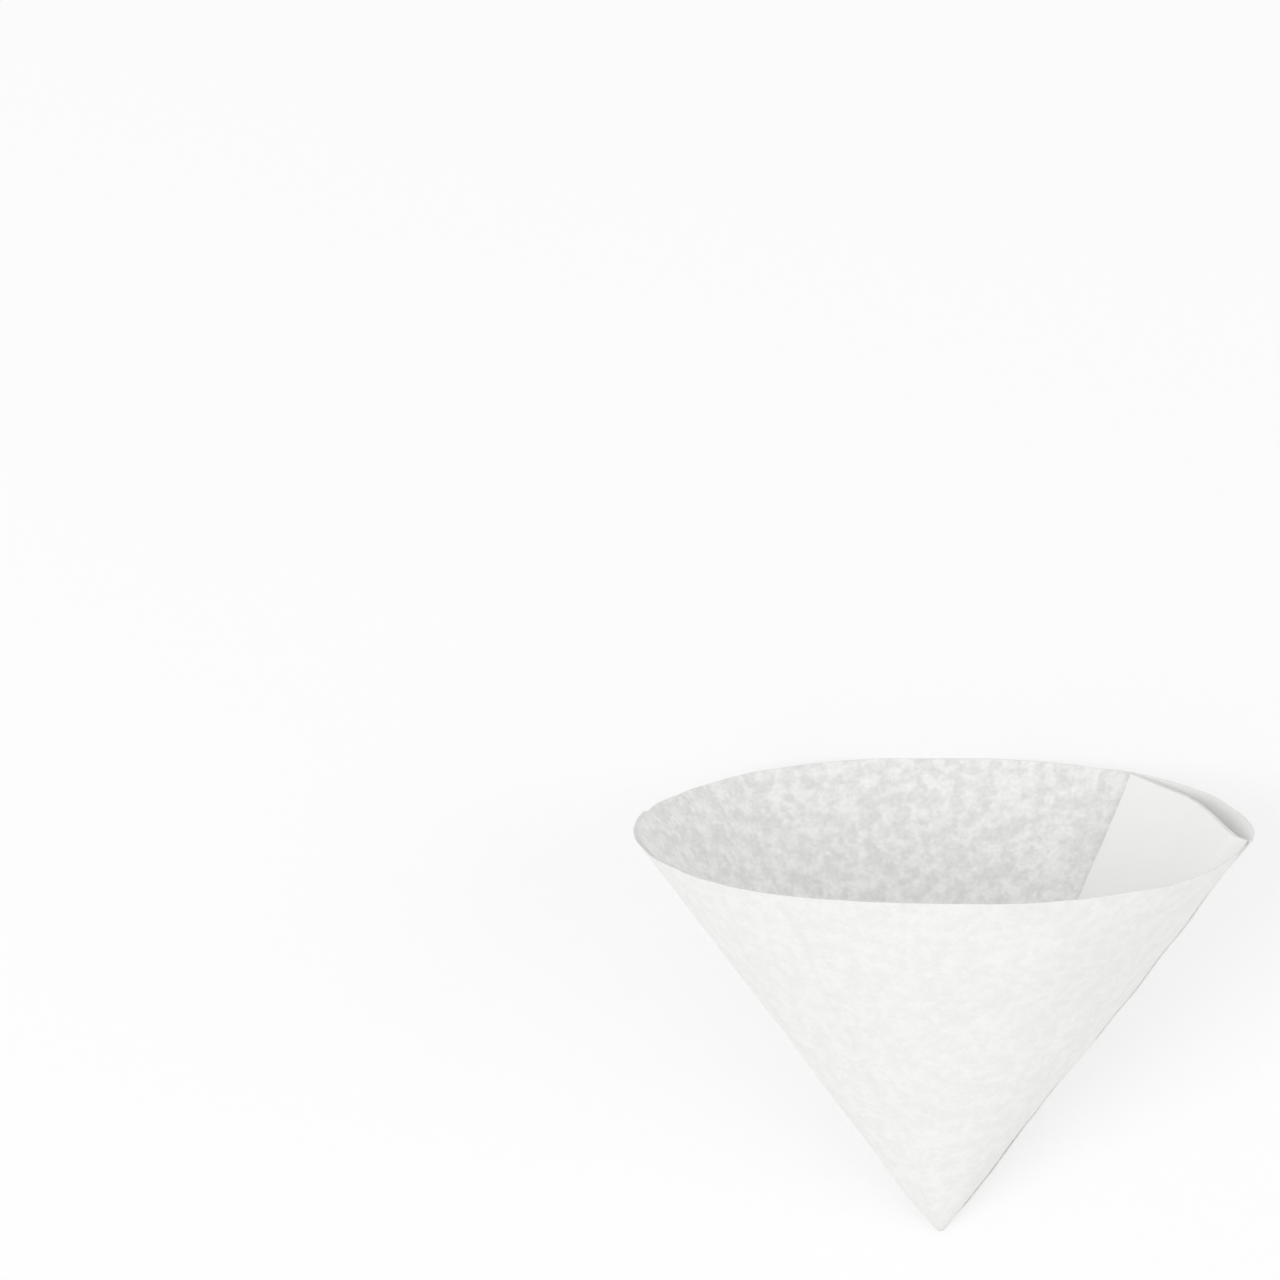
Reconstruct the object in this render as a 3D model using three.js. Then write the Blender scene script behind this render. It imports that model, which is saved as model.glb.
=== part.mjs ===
import * as THREE from 'three';

// A round of laboratory filter paper, folded by hand into an open funnel cone and laid on its side.
// One uncut disc: its surplus is doubled over in equal pleats, three plies thick, round the cone.
// Lengths are in millimetres and angles in degrees.

const discDiameter = 150;         // flat size before folding; its radius is the slant of the cone
const coneAngle = 72;             // full angle between opposite walls
const pleatCount = 2;             // pleats, evenly spaced round the cone
const paperThickness = 0.2;
const plyGap = 0.15;              // air between plies that are pressed together
const innerFoldAngle = 49;        // place of the first pleat's inner folded edge round the mouth
const pleatLift = 3.7;            // how far the first pleat springs off the wall at the rim
const settleAngle = 12;           // turn in which the outer ply comes back to the wall past a pleat
const recoverAngle = 18;          // further turn in which the wall loses the sideways step of the pleat
const restHalfAngle = 10;         // half the turn of wall that is pressed flat where the cone lies
const solidTip = 7;               // slant length in which the plies are crushed solid
const tipFloor = 1.5;             // slant from the crushed tip up to the floor of the hollow
const tipWidth = 1.9;             // width of the blunt point
const facetAngle = 4;             // largest turn between two rulings
const bendSteps = 4;              // facets round a folded edge

const radians = THREE.MathUtils.degToRad;
const halfAngle = radians(coneAngle / 2);
const slant = discDiameter / 2;
const rimRadius = slant * Math.sin(halfAngle);
const coneHeight = slant * Math.cos(halfAngle);

// The wall unrolls to 360 sin(half angle); each pleat takes up an equal share of what is left over.
const surplus = 360 * (1 - Math.sin(halfAngle));
const pleatSpan = surplus / (2 * pleatCount) / Math.sin(halfAngle);

// A level section cuts the sloping paper, so its thickness and spacing are longer there.
const levelThickness = paperThickness / Math.cos(halfAngle);
const plyPitch = (paperThickness + plyGap) / Math.cos(halfAngle);
const bendReach = (plyPitch + levelThickness) / 2;
const wallRadius = rimRadius - levelThickness / 2;
const restAngle = 90;             // the back of the cone is what it lies on

// Angles from one end to the other, no further apart than a facet, both ends included.
function anglesBetween(from, to) {
  const steps = Math.max(1, Math.ceil(Math.abs(to - from) / facetAngle));
  return Array.from({ length: steps + 1 }, (_, i) => from + (to - from) * i / steps);
}

// A ruling of the paper: radius shrinks towards the apex, ply and along keep their size.
function ruling(angle, ply, { inset = 0, along = 0 } = {}) {
  return { angle: radians(angle), radius: wallRadius - inset, ply: ply * plyPitch, along };
}

// Half a turn round a folded edge, from one ply to the next one out.
function foldedEdge(angle, fromPly, side) {
  const rulings = [];
  for (let i = 1; i < bendSteps; i++) {
    const turn = Math.PI * i / bendSteps;
    const ply = fromPly + (1 - Math.cos(turn)) / 2;
    rulings.push(ruling(angle, ply, { along: side * Math.sin(turn) * plyPitch / 2 }));
  }
  return rulings;
}

// The plies of one pleat: in along the wall, back under it, and out again on the outside.
function pleat(innerEdge, lift) {
  const outerEdge = innerEdge - pleatSpan;
  const inset = (angle) => lift * Math.sin(Math.PI * (angle - outerEdge) / pleatSpan);
  const across = anglesBetween(outerEdge, innerEdge);
  const inner = across.map((angle) => ruling(angle, 0, { inset: inset(angle) }));
  const middle = across.map((angle) => ruling(angle, 1, { inset: inset(angle) })).reverse();
  const outer = across.map((angle) => ruling(angle, 2));
  return [...inner, ...foldedEdge(innerEdge, 0, 1), ...middle, ...foldedEdge(outerEdge, 1, -1), ...outer];
}

// Past a pleat the outer ply clears the folded edge, then comes down to the single wall.
function settle(innerEdge, end) {
  const settled = innerEdge + settleAngle;
  const ease = anglesBetween(innerEdge, settled).slice(1).map((angle) => {
    const down = (angle - innerEdge) / settleAngle;
    const ply = 1 + Math.cos(Math.PI * down);
    return ruling(angle, ply, { along: bendReach });
  });
  const wall = anglesBetween(settled, end).slice(1).map((angle) => {
    const along = bendReach * Math.max(0, 1 - (angle - settled) / recoverAngle);
    return ruling(angle, 0, { along });
  });
  return [...ease, ...wall];
}

// The single wall is one straight facet where the cone lies on it.
function leaveRestFlat(rulings) {
  const flatCosine = Math.cos(radians(restHalfAngle));
  const isRound = ({ angle }) => Math.cos(angle - radians(restAngle)) < flatCosine - 1e-7;
  const ends = [restAngle - restHalfAngle, restAngle + restHalfAngle].map((angle) => ruling(angle, 0));
  const before = rulings.findIndex((item) => !isRound(item));
  const kept = rulings.filter(isRound);
  kept.splice(before, 0, ...ends);
  return kept;
}

// The whole sheet, once round the cone.
function sheetRulings() {
  const rulings = [];
  const turn = 360 / pleatCount;
  for (let i = 0; i < pleatCount; i++) {
    const innerEdge = innerFoldAngle + i * turn;
    const nextOuterEdge = innerEdge + turn - pleatSpan;
    rulings.push(...pleat(innerEdge, i === 0 ? pleatLift : 0));
    rulings.push(...settle(innerEdge, nextOuterEdge).slice(0, -1));
  }
  return leaveRestFlat(rulings);
}

// Both faces of the paper in the level section at a share of the way from the apex to the mouth.
function section(rulings, share) {
  const middle = rulings.map(({ angle, radius, ply, along }) => new THREE.Vector2(
    (share * radius + ply) * Math.cos(angle) - along * Math.sin(angle),
    (share * radius + ply) * Math.sin(angle) + along * Math.cos(angle),
  ));
  const count = middle.length;
  const normals = middle.map((point, i) => {
    const next = middle[(i + 1) % count].clone().sub(point).normalize();
    return new THREE.Vector2(-next.y, next.x);
  });
  const face = (side) => middle.map((point, i) => {
    const before = normals[(i + count - 1) % count];
    const mitre = before.clone().add(normals[i]);
    mitre.multiplyScalar(side * levelThickness / mitre.lengthSq());
    return new THREE.Vector3(point.x + mitre.x, point.y + mitre.y, share * coneHeight);
  });
  return { inside: face(1), outside: face(-1) };
}

// One closed body from the two faces, the cut rim, the floor of the hollow and the blunt point.
function filterConeGeometry() {
  const rulings = sheetRulings();
  const mouth = section(rulings, 1);
  const floor = section(rulings, (solidTip + tipFloor) / slant);
  const crushed = section(rulings, solidTip / slant);
  const crushedWidth = 2 * (wallRadius * solidTip / slant + 2 * plyPitch + levelThickness / 2);
  const point = crushed.outside.map((vertex) => vertex.clone().multiplyScalar(tipWidth / crushedWidth));

  const positions = [];
  const indices = [];
  const count = rulings.length;
  const addLoop = (loop) => {
    const start = positions.length / 3;
    loop.forEach((vertex) => positions.push(vertex.x, vertex.y, vertex.z));
    return start;
  };
  const bridge = (low, high) => {
    for (let i = 0; i < count; i++) {
      const j = (i + 1) % count;
      indices.push(low + i, low + j, high + j, low + i, high + j, high + i);
    }
  };
  const cap = (start, loop, up) => {
    const contour = loop.map((vertex) => new THREE.Vector2(vertex.x, vertex.y));
    THREE.ShapeUtils.triangulateShape(contour, []).forEach(([a, b, c]) => {
      indices.push(start + a, start + (up ? b : c), start + (up ? c : b));
    });
  };

  const pointStart = addLoop(point);
  const crushedStart = addLoop(crushed.outside);
  const outsideStart = addLoop(mouth.outside);
  const insideStart = addLoop(mouth.inside);
  const floorStart = addLoop(floor.inside);
  bridge(pointStart, crushedStart);
  bridge(crushedStart, outsideStart);
  bridge(outsideStart, insideStart);
  bridge(insideStart, floorStart);
  cap(floorStart, floor.inside, true);
  cap(pointStart, point, false);

  const geometry = new THREE.BufferGeometry();
  geometry.setAttribute('position', new THREE.Float32BufferAttribute(positions, 3));
  geometry.setIndex(indices);
  return geometry;
}

// Laid on its flat spot with the point towards the front and the mouth towards the back.
function layDown(geometry) {
  const restSlope = Math.atan(wallRadius * Math.cos(radians(restHalfAngle)) / coneHeight);
  geometry.rotateX(restSlope - Math.PI / 2);
  geometry.computeBoundingBox();
  const { min, max } = geometry.boundingBox;
  geometry.translate(-(min.x + max.x) / 2, -(min.y + max.y) / 2, -min.z);
  geometry.computeVertexNormals();
  return geometry;
}

const filterPaper = new THREE.Mesh(
  layDown(filterConeGeometry()),
  new THREE.MeshStandardMaterial({ color: 0xf0f0ee, roughness: 0.95, metalness: 0, flatShading: true }),
);
filterPaper.name = 'filter_paper';

const group = new THREE.Group();
group.add(filterPaper);
export default group;
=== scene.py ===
import math
import bpy
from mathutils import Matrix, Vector


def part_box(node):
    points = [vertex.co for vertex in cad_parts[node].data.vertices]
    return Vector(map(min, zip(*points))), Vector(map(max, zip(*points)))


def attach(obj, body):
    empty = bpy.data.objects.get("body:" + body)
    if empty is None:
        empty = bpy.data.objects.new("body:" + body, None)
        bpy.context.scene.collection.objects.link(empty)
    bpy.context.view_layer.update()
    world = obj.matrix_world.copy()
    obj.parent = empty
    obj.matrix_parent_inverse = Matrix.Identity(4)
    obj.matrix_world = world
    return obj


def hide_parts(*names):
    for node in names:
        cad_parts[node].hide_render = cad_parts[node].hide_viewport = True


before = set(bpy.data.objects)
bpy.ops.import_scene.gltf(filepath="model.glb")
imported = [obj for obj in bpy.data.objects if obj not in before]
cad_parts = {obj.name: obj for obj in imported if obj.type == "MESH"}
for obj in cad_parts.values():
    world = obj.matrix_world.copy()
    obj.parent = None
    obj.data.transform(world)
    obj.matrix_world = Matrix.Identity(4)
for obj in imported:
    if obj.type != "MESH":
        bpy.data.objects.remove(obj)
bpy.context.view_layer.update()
print("frame loaded")

# The folded cone as its solid has it. Lengths are in metres and angles in degrees.
cone = {
    "slant": 0.075,
    "halfAngle": 36,
    "restHalfAngle": 10,         # half the turn of wall that is flat where the cone lies
    "paperThickness": 0.0002,
    "plyGap": 0.00015,           # air between plies
    "innerFold": 49,             # inner folded edge of the raised pleat
    "pleatSpan": 63.1,
    "pleatTurn": 180,            # from the raised pleat to the flat one
    "pleatLift": 0.0037,         # at the mouth, and less towards the point
    "crushedPoint": 0.007,       # slant at which the plies turn solid
    "hollowFloor": 0.0085,       # slant at which the solid's hollow ends
}
halfAngle = math.radians(cone["halfAngle"])
flare = 1 / math.cos(halfAngle)      # a level cut through the sloping sheet is thicker by this factor
halfSheet = cone["paperThickness"] * flare / 2
wallRadius = cone["slant"] * math.sin(halfAngle) - halfSheet
coneHeight = cone["slant"] * math.cos(halfAngle)
flatRadius = wallRadius * math.cos(math.radians(cone["restHalfAngle"]))
restSlope = math.atan(flatRadius / coneHeight)
coneAxis = Vector((0, math.cos(restSlope), math.sin(restSlope)))      # from the point to the mouth
coneBack = Vector((0, math.sin(restSlope), -math.cos(restSlope)))     # towards the wall that it lies on
backRim = coneBack * (flatRadius + halfSheet) + coneAxis * coneHeight
apex = Vector((0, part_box("filter_paper")[1].y, 0)) - backRim
outerPly = 2                         # a pleat's plies count 0, 1 and 2 from the inside out


def linearColour(hexColour):
    channels = [int(hexColour[i:i + 2], 16) / 255 for i in (1, 3, 5)]
    return [c / 12.92 if c <= 0.04045 else ((c + 0.055) / 1.055) ** 2.4 for c in channels] + [1]


def addNode(tree, kind, settings=None, inputs=None):
    node = tree.nodes.new(kind)
    for name, value in (settings or {}).items():
        setattr(node, name, value)
    for name, value in (inputs or {}).items():
        if isinstance(value, bpy.types.NodeSocket):
            tree.links.new(value, node.inputs[name])
        else:
            node.inputs[name].default_value = value
    return node


# Unsized cotton linter paper, laid wet on a wire: matt, faintly creamy white, cloudy where light comes
# through one ply, with a fine felt of fibres that shows as grain under a low light. The light through the
# sheet is painted into the inside colours: a lighter tone than the outside, and deeper clouds.
paperLook = {
    "outside": "#F3F3F1",
    "outsideThin": "#EBEBE9",    # between the flocs of fibre
    # The inside colours hold painted light: lighter than the outside, for light that comes through the
    # sheet.
    "inside": "#FAFAF9",
    "insideBacklitThin": "#E2E2E0",     # between the flocs, where the wall is one ply; painted shade of the light that comes through it
    "insideThickLit": "#FAFAF8",    # three plies together, which hide the flocs; painted light, lighter than the outside
    "clouds": {"size": 0.0021, "detail": 3, "roughness": 0.55, "limits": (0.36, 0.66), "share": 0.58},
    "specks": {"size": 0.0007, "detail": 2, "roughness": 0.5, "limits": (0.3, 0.75), "share": 0.42},
    "fibreWidth": 0.00016,       # real fibres are 0.02 mm; drawn coarser so that they show
    "fibreDetail": 4,
    "fibreRoughness": 0.65,
    "fibreBump": 0.35,
    "fibreHeight": 0.00012,
    "roughness": 0.93,
    "ior": 1.47,                 # cellulose
    "specular": 0.25,
}


def addFlocs(tree, coords, flocs):
    noise = addNode(tree, "ShaderNodeTexNoise", inputs={
        "Vector": coords, "Scale": 1 / flocs["size"], "Detail": flocs["detail"],
        "Roughness": flocs["roughness"]
    })
    return addNode(tree, "ShaderNodeMapRange", {"interpolation_type": "SMOOTHSTEP"}, {
        "Value": noise.outputs["Fac"], "From Min": flocs["limits"][0], "From Max": flocs["limits"][1],
        "To Max": flocs["share"]
    }).outputs["Result"]


def makeFilterPaper(name):
    material = bpy.data.materials.new(name)
    material.use_nodes = True
    tree = material.node_tree
    tree.nodes.clear()
    coords = addNode(tree, "ShaderNodeTexCoord").outputs["Object"]
    innerFace = addNode(tree, "ShaderNodeAttribute", {"attribute_name": "innerFace"}).outputs["Fac"]
    threePly = addNode(tree, "ShaderNodeAttribute", {"attribute_name": "threePly"}).outputs["Fac"]
    clouds = addFlocs(tree, coords, paperLook["clouds"])
    specks = addFlocs(tree, coords, paperLook["specks"])
    flocs = addNode(tree, "ShaderNodeMath", {"operation": "ADD"}, {0: clouds, 1: specks}).outputs[0]
    # A Mix node takes its two colours at inputs 6 and 7 and gives the mixed one at output 2.
    outside = addNode(tree, "ShaderNodeMix", {"data_type": "RGBA"}, {
        0: flocs, 6: linearColour(paperLook["outsideThin"]), 7: linearColour(paperLook["outside"])
    }).outputs[2]
    # On the inside the clouds are deeper: painted light and shade of the light through one ply.
    backlitInsideWall = addNode(tree, "ShaderNodeMix", {"data_type": "RGBA"}, {
        0: flocs, 6: linearColour(paperLook["insideBacklitThin"]), 7: linearColour(paperLook["inside"])
    }).outputs[2]
    inside = addNode(tree, "ShaderNodeMix", {"data_type": "RGBA"}, {
        0: threePly, 6: backlitInsideWall, 7: linearColour(paperLook["insideThickLit"])
    }).outputs[2]
    # Inner faces take the inside colours, which carry the painted light through the sheet.
    colour = addNode(tree, "ShaderNodeMix", {"data_type": "RGBA"}, {
        0: innerFace, 6: outside, 7: inside
    }).outputs[2]
    fibres = addNode(tree, "ShaderNodeTexNoise", inputs={
        "Vector": coords, "Scale": 1 / paperLook["fibreWidth"], "Detail": paperLook["fibreDetail"],
        "Roughness": paperLook["fibreRoughness"]
    }).outputs["Fac"]
    bump = addNode(tree, "ShaderNodeBump", inputs={
        "Strength": paperLook["fibreBump"], "Distance": paperLook["fibreHeight"], "Height": fibres
    }).outputs["Normal"]
    surface = addNode(tree, "ShaderNodeBsdfPrincipled", inputs={
        "Base Color": colour, "Roughness": paperLook["roughness"], "IOR": paperLook["ior"],
        "Specular IOR Level": paperLook["specular"], "Normal": bump
    }).outputs["BSDF"]
    addNode(tree, "ShaderNodeOutputMaterial", inputs={"Surface": surface})
    return material


filterPaperMaterial = makeFilterPaper("filterPaper")
print("paper material made")

# What folding by hand does to the sheet. Lengths are in metres and angles in degrees.
handFolding = {
    "rows": 26,                  # that the wall is cut into, from point to mouth
    "mergeDistance": 1e-6,
    "quadBend": 8,               # two triangles that bend less than this are one face
    "smoothAngle": 50,
    "levelCosine": 0.99,         # a face with its normal this close to the cone's axis is level
    "hollowShare": 0.42,         # the hollow's floor is drawn down to this share of its way from the apex
    "floorReach": 0.0004,        # faces this near to the floor's level belong to it
    "nippedShare": 0.45,         # the blunt end is nipped to this share of its size
    "pointReach": 0.0013,        # the blunt end is nearer to the apex than this
    "inwardCosine": -0.2,        # a face turned inwards by more than this is on the inside
    "pressedPleat": 0.35,        # how much the flat pleat hides the painted clouds of light through the sheet
    "pressedGap": 0.25,          # share of the air between plies that is left where fingers pressed them
    "outerPlyOffset": 1.6,       # a point this many plies out from the raised one is on the outermost ply
    "edgeCreep": 6,              # turn by which the raised pleat's outer folded edge was rolled round
    "edgeRoll": 0.0006,          # and the length rolled round near the point
    "edgeReach": 12,             # the folded edge ends within this turn past the pleat
    "foldedPly": 0.1,            # past the pleat, only the folded edge has a higher ply number
    "creepShare": 0.4,           # share of the pleat over which the rolling fades
    "wallReach": 24,             # turn of the wall over which it fades on the other side
    "humpFullness": 0.6,         # below 1 the raised pleat is squarer than a sine
    "humpSkew": 0.7,             # below 1 the raised pleat is fullest nearer its outer edge
    "foldLift": 0.00035,         # lift of the inner folded edge
    "foldLiftPower": 4,          # higher keeps that lift closer to the edge
    "foldReach": 1.2,            # the inner folded edge ends within this share of the pleat
    "freeHeight": 0.010,         # height over which the waves come in above the bench
    "freeSlant": 0.020,          # and the length over which they come in from the point
    "waves": {
        "softWave": {"size": 0.020, "depth": 0.0013},
        "fineRipple": {"size": 0.007, "depth": 0.00035},
    },
    "waveOctaves": 1,
}


def coneCoordinates(point):
    offset = point - apex
    along = offset.dot(coneAxis)
    back = offset.dot(coneBack)
    return math.degrees(math.atan2(back, offset.x)), math.hypot(back, offset.x), along


def outwardAt(angle):
    return Vector((math.cos(math.radians(angle)), 0, 0)) + coneBack * math.sin(math.radians(angle))


# Share of the way across a pleat, from its outer edge to its inner one, and 0 off the pleat.
def acrossPleat(angle, turn=0):
    share = (angle - (cone["innerFold"] + turn - cone["pleatSpan"])) % 360 / cone["pleatSpan"]
    return share if share < 1 else 0


# Share of the inside that shows the plain painted light of three plies instead of the painted clouds of
# light through one ply.
def threePlyShare(angle):
    pressed = math.sin(math.pi * acrossPleat(angle, cone["pleatTurn"]))
    return 1.0 if acrossPleat(angle) > 0 else handFolding["pressedPleat"] * pressed


def copyOfNode(node, name):
    bpy.ops.object.select_all(action="DESELECT")
    piece = bpy.data.objects.new(name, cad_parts[node].data.copy())
    bpy.context.scene.collection.objects.link(piece)
    bpy.context.view_layer.objects.active = piece
    piece.select_set(True)
    return piece


# Level faces between two places along the axis; facing is 1 towards the mouth and -1 towards the point.
def selectLevelFaces(piece, facing, low, high):
    bpy.ops.object.mode_set(mode="OBJECT")
    for part in (piece.data.vertices, piece.data.edges, piece.data.polygons):
        part.foreach_set("select", [False] * len(part))
    for face in piece.data.polygons:
        isLevel = face.normal.dot(coneAxis) * facing > handFolding["levelCosine"]
        face.select = isLevel and low < coneCoordinates(face.center)[2] < high
    bpy.ops.object.mode_set(mode="EDIT")


def foldPaper():
    piece = copyOfNode("filter_paper", "foldedPaper")
    bpy.ops.object.mode_set(mode="EDIT")
    bpy.ops.mesh.select_mode(type="FACE")
    bpy.ops.mesh.select_all(action="SELECT")
    bpy.ops.mesh.remove_doubles(threshold=handFolding["mergeDistance"])
    bpy.ops.mesh.tris_convert_to_quads(
        face_threshold=math.radians(handFolding["quadBend"]), shape_threshold=math.radians(180)
    )
    # The hollow runs on down into the crushed point.
    hollowEnd = cone["hollowFloor"] * math.cos(halfAngle)
    reach = handFolding["floorReach"]
    selectLevelFaces(piece, 1, hollowEnd - reach, hollowEnd + reach)
    bpy.ops.mesh.extrude_region_move()
    bpy.ops.transform.resize(value=(handFolding["hollowShare"],) * 3, center_override=apex)
    # The point is nipped sharper than the solid's.
    selectLevelFaces(piece, -1, 0, handFolding["pointReach"])
    bpy.ops.transform.resize(value=(handFolding["nippedShare"],) * 3, center_override=apex)
    for row in range(1, handFolding["rows"]):
        bpy.ops.mesh.select_all(action="SELECT")
        bpy.ops.mesh.bisect(
            plane_co=apex + coneAxis * (coneHeight * row / handFolding["rows"]), plane_no=coneAxis
        )
    bpy.ops.object.mode_set(mode="OBJECT")
    print("wall cut into rows:", len(piece.data.polygons), "faces")
    return piece


def markPlies(piece):
    mesh = piece.data
    innerFace = mesh.attributes.new("innerFace", "FLOAT", "FACE")
    # Inner faces get the painted light of the inside colours; threePly is where the painted clouds of
    # light through one ply give way to a plain painted tone.
    threePly = mesh.attributes.new("threePly", "FLOAT", "FACE")
    for face in mesh.polygons:
        angle = coneCoordinates(face.center)[0]
        isInside = face.normal.dot(outwardAt(angle)) < handFolding["inwardCosine"]
        innerFace.data[face.index].value = 1.0 if isInside else 0.0
        threePly.data[face.index].value = threePlyShare(angle)


# Which ply a point is in; round a folded edge it goes evenly from one ply to the next.
def plyNumber(offset, pitch, halfThickness):
    step = offset / pitch
    halfPly = halfThickness / pitch
    between = min(1, max(0, (step % 1 - halfPly) / (1 - 2 * halfPly)))
    return min(outerPly, max(0, math.floor(step) + between))


# How far round a point of the raised pleat was rolled, and how far in from the wall it springs.
def pleatShape(angle, ply, radius):
    fromOuterEdge = (angle - cone["innerFold"] + cone["pleatSpan"] + 180) % 360 - 180
    if fromOuterEdge > 0:
        faded = max(0, 1 - fromOuterEdge / (handFolding["creepShare"] * cone["pleatSpan"]))
    elif ply > handFolding["foldedPly"]:
        faded = 1 if fromOuterEdge > -handFolding["edgeReach"] else 0
    else:
        faded = max(0, 1 + fromOuterEdge / handFolding["wallReach"])
    rolled = handFolding["edgeCreep"] + math.degrees(handFolding["edgeRoll"] / radius)
    creep = faded * rolled
    share = (fromOuterEdge + creep - rolled) / (cone["pleatSpan"] - rolled)
    if not 0 < share < handFolding["foldReach"]:
        return creep, 0
    share = min(1, share)
    sine = max(0, math.sin(math.pi * share ** handFolding["humpSkew"]))
    hump = cone["pleatLift"] * sine ** handFolding["humpFullness"]
    foldLift = handFolding["foldLift"] * share ** handFolding["foldLiftPower"]
    return creep, (hump + foldLift) * min(1, outerPly - ply)


def pressPlies(piece):
    crushedAlong = cone["crushedPoint"] * math.cos(halfAngle)
    for vertex in piece.data.vertices:
        angle, radius, along = coneCoordinates(vertex.co)
        share = along / coneHeight
        crush = min(1, along / crushedAlong) * flare
        lift = cone["pleatLift"] * math.sin(math.pi * acrossPleat(angle))
        offset = radius - (wallRadius - lift) * share
        pitch = (cone["paperThickness"] + cone["plyGap"]) * crush
        if offset > handFolding["outerPlyOffset"] * pitch:      # the outermost ply never left the wall
            offset = radius - wallRadius * share
        ply = plyNumber(offset, pitch, cone["paperThickness"] * crush / 2)
        creep, newLift = pleatShape(angle, ply, wallRadius * share)
        offset -= ply * cone["plyGap"] * crush * (1 - handFolding["pressedGap"])
        newRadius = (wallRadius - newLift) * share + offset
        vertex.co = apex + coneAxis * along + outwardAt(angle + creep) * newRadius


# Long soft waves and fine ripples, gentler where the cone lies and at the folded point.
def slackenPaper(piece):
    free = piece.vertex_groups.new(name="freePaper")
    for vertex in piece.data.vertices:
        along = coneCoordinates(vertex.co)[2]
        weight = min(1, vertex.co.z / handFolding["freeHeight"]) * min(1, along / handFolding["freeSlant"])
        free.add([vertex.index], max(0, weight), "REPLACE")
    for name, wave in handFolding["waves"].items():
        texture = bpy.data.textures.new(name, type="CLOUDS")
        texture.cloud_type = "COLOR"
        texture.noise_scale = wave["size"]
        texture.noise_depth = handFolding["waveOctaves"]
        displace = piece.modifiers.new(name, "DISPLACE")
        displace.texture = texture
        displace.texture_coords = "LOCAL"
        displace.direction = "RGB_TO_XYZ"
        displace.strength = wave["depth"]
        displace.vertex_group = "freePaper"
        bpy.ops.object.modifier_apply(modifier=name)
    bpy.ops.object.shade_smooth_by_angle(angle=math.radians(handFolding["smoothAngle"]))


foldedPaper = foldPaper()
markPlies(foldedPaper)
pressPlies(foldedPaper)
slackenPaper(foldedPaper)
foldedPaper.data.materials.clear()
foldedPaper.data.materials.append(filterPaperMaterial)
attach(foldedPaper, "root")
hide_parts("filter_paper")
print("paper folded")

# The photograph looks down at the mouth from a little above its plane, from far away.
shot = {
    "aboveMouth": 13.2,              # degrees
    "metresPerPixel": 0.0001445,
    "imageSize": 1280,
    "mouthCentrePixel": (943, 830),
    "distance": 1.6,
    "nearClip": 0.01,
    "farClip": 20,
}


def makeCamera():
    data = bpy.data.cameras.new("studioCamera")
    camera = bpy.data.objects.new("studioCamera", data)
    bpy.context.scene.collection.objects.link(camera)
    bpy.context.scene.camera = camera
    aboveMouth = math.radians(shot["aboveMouth"])
    look = coneBack * math.cos(aboveMouth) - coneAxis * math.sin(aboveMouth)
    right = Vector((1, 0, 0))
    up = right.cross(look)
    scale = shot["metresPerPixel"]
    fromCentre = [pixel - shot["imageSize"] / 2 for pixel in shot["mouthCentrePixel"]]
    mouthCentre = apex + coneAxis * coneHeight
    aim = mouthCentre - right * fromCentre[0] * scale + up * fromCentre[1] * scale
    camera.location = aim - look * shot["distance"]
    camera.rotation_euler = look.to_track_quat("-Z", "Y").to_euler()
    data.lens = data.sensor_width * shot["distance"] / (shot["imageSize"] * scale)
    data.clip_start = shot["nearClip"]
    data.clip_end = shot["farClip"]


makeCamera()

studio = {
    "white": "#FFFFFF",
    "floorColour": "#F4F4F4",
    "floorSize": 6,
    "floorShadow": 0.4,              # how much of the shadow the camera sees
    "worldStrength": 0.74,
    "softboxes": {
        "keySoftbox": {"place": (-0.5, -0.35, 0.8), "size": 0.5, "power": 2.9},
        "fillSoftbox": {"place": (0.6, -0.2, 0.6), "size": 0.6, "power": 1.3},
    },
}


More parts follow.
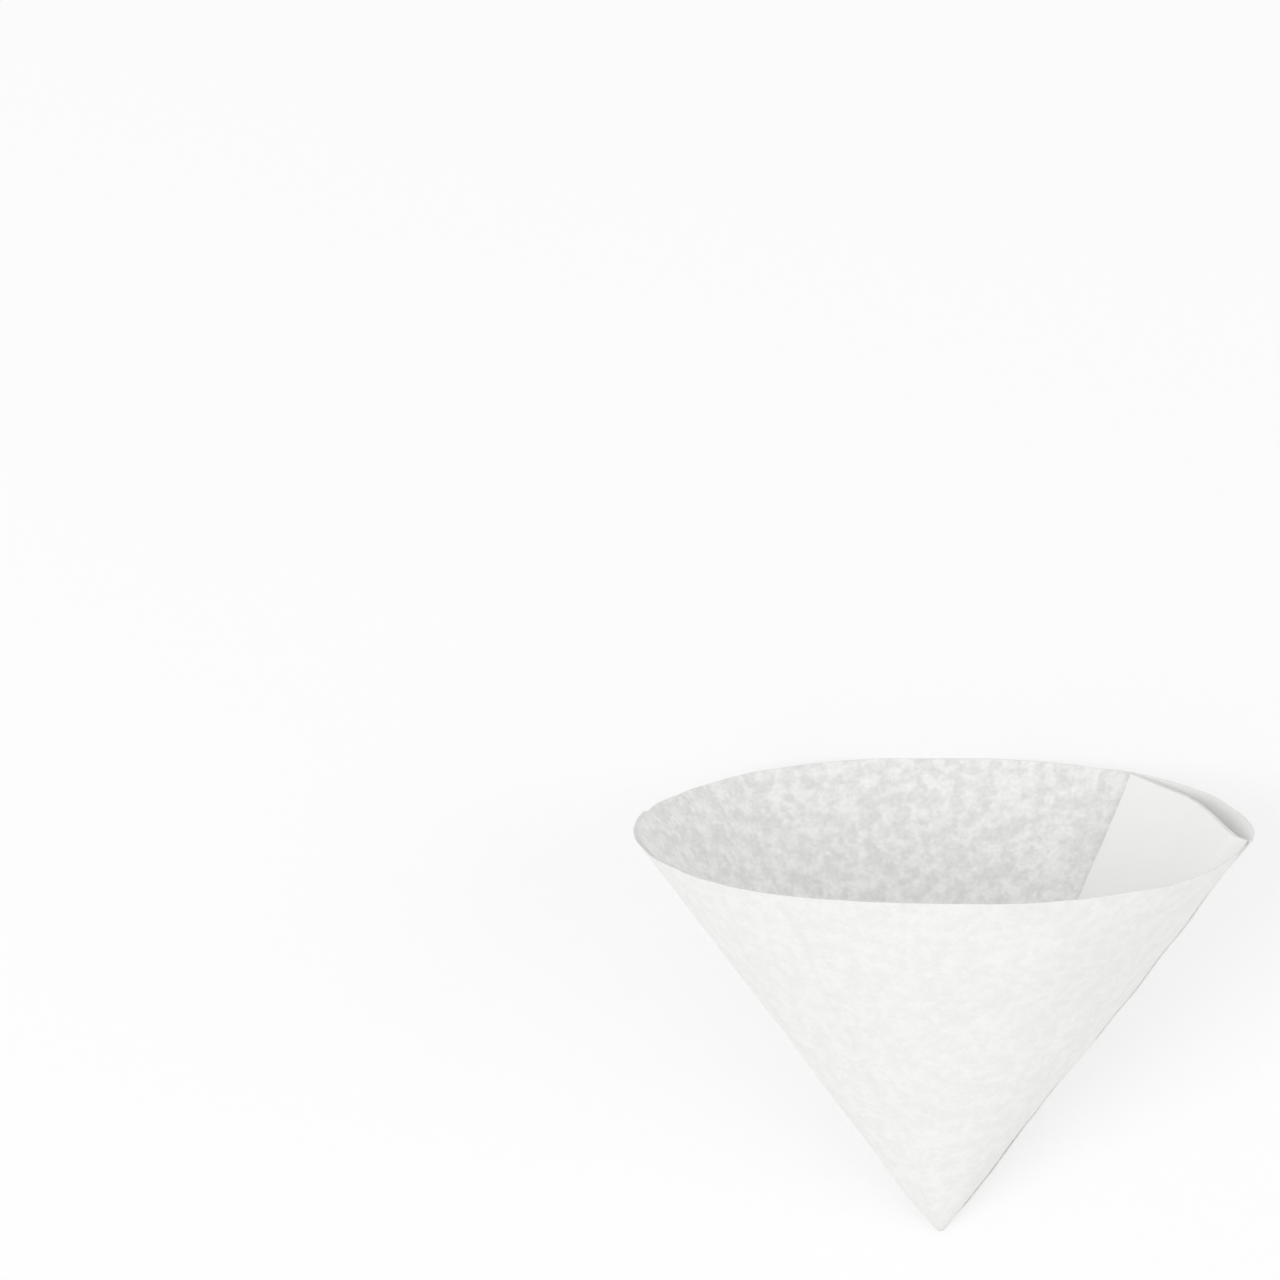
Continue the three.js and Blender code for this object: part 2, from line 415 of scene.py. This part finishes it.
# 1 for the rays that show the background itself: straight from the camera, mirrored or let through.
def addSeenRays(tree):
    rays = addNode(tree, "ShaderNodeLightPath").outputs
    seen = rays["Is Camera Ray"]
    for ray in ("Is Glossy Ray", "Is Transmission Ray"):
        either = addNode(tree, "ShaderNodeMath", {"operation": "MAXIMUM"}, {0: seen, 1: rays[ray]})
        seen = either.outputs[0]
    return seen


def makeFloor():
    bpy.ops.object.select_all(action="DESELECT")
    bpy.ops.mesh.primitive_plane_add(size=studio["floorSize"])
    floor = bpy.context.object
    floor.name = "paleFloor"
    material = bpy.data.materials.new("paleFloor")
    material.use_nodes = True
    tree = material.node_tree
    tree.nodes.clear()
    lit = addNode(tree, "ShaderNodeBsdfDiffuse", inputs={"Color": linearColour(studio["floorColour"])})
    white = addNode(tree, "ShaderNodeEmission", inputs={"Color": linearColour(studio["white"])})
    share = addNode(tree, "ShaderNodeMath", {"operation": "MULTIPLY"}, {
        0: addSeenRays(tree), 1: 1 - studio["floorShadow"]
    }).outputs[0]
    mixed = addNode(tree, "ShaderNodeMixShader", inputs={0: share, 1: lit.outputs[0], 2: white.outputs[0]})
    addNode(tree, "ShaderNodeOutputMaterial", inputs={"Surface": mixed.outputs[0]})
    floor.data.materials.append(material)


def makeWorld():
    world = bpy.data.worlds.new("studioWorld")
    bpy.context.scene.world = world
    world.use_nodes = True
    tree = world.node_tree
    tree.nodes.clear()
    white = linearColour(studio["white"])
    strength = studio["worldStrength"]
    soft = addNode(tree, "ShaderNodeBackground", inputs={"Color": white, "Strength": strength})
    plain = addNode(tree, "ShaderNodeBackground", inputs={"Color": white})
    mixed = addNode(tree, "ShaderNodeMixShader", inputs={
        0: addSeenRays(tree), 1: soft.outputs[0], 2: plain.outputs[0]
    })
    addNode(tree, "ShaderNodeOutputWorld", inputs={"Surface": mixed.outputs[0]})


def addSoftbox(name, place, size, power):
    data = bpy.data.lights.new(name, "AREA")
    data.shape = "SQUARE"
    data.size = size
    data.energy = power
    lamp = bpy.data.objects.new(name, data)
    bpy.context.scene.collection.objects.link(lamp)
    lamp.location = place
    lamp.rotation_euler = (-Vector(place)).to_track_quat("-Z", "Y").to_euler()


makeFloor()
makeWorld()
for name, softbox in studio["softboxes"].items():
    addSoftbox(name, **softbox)
bpy.context.scene.view_settings.view_transform = "Standard"
print("studio set")
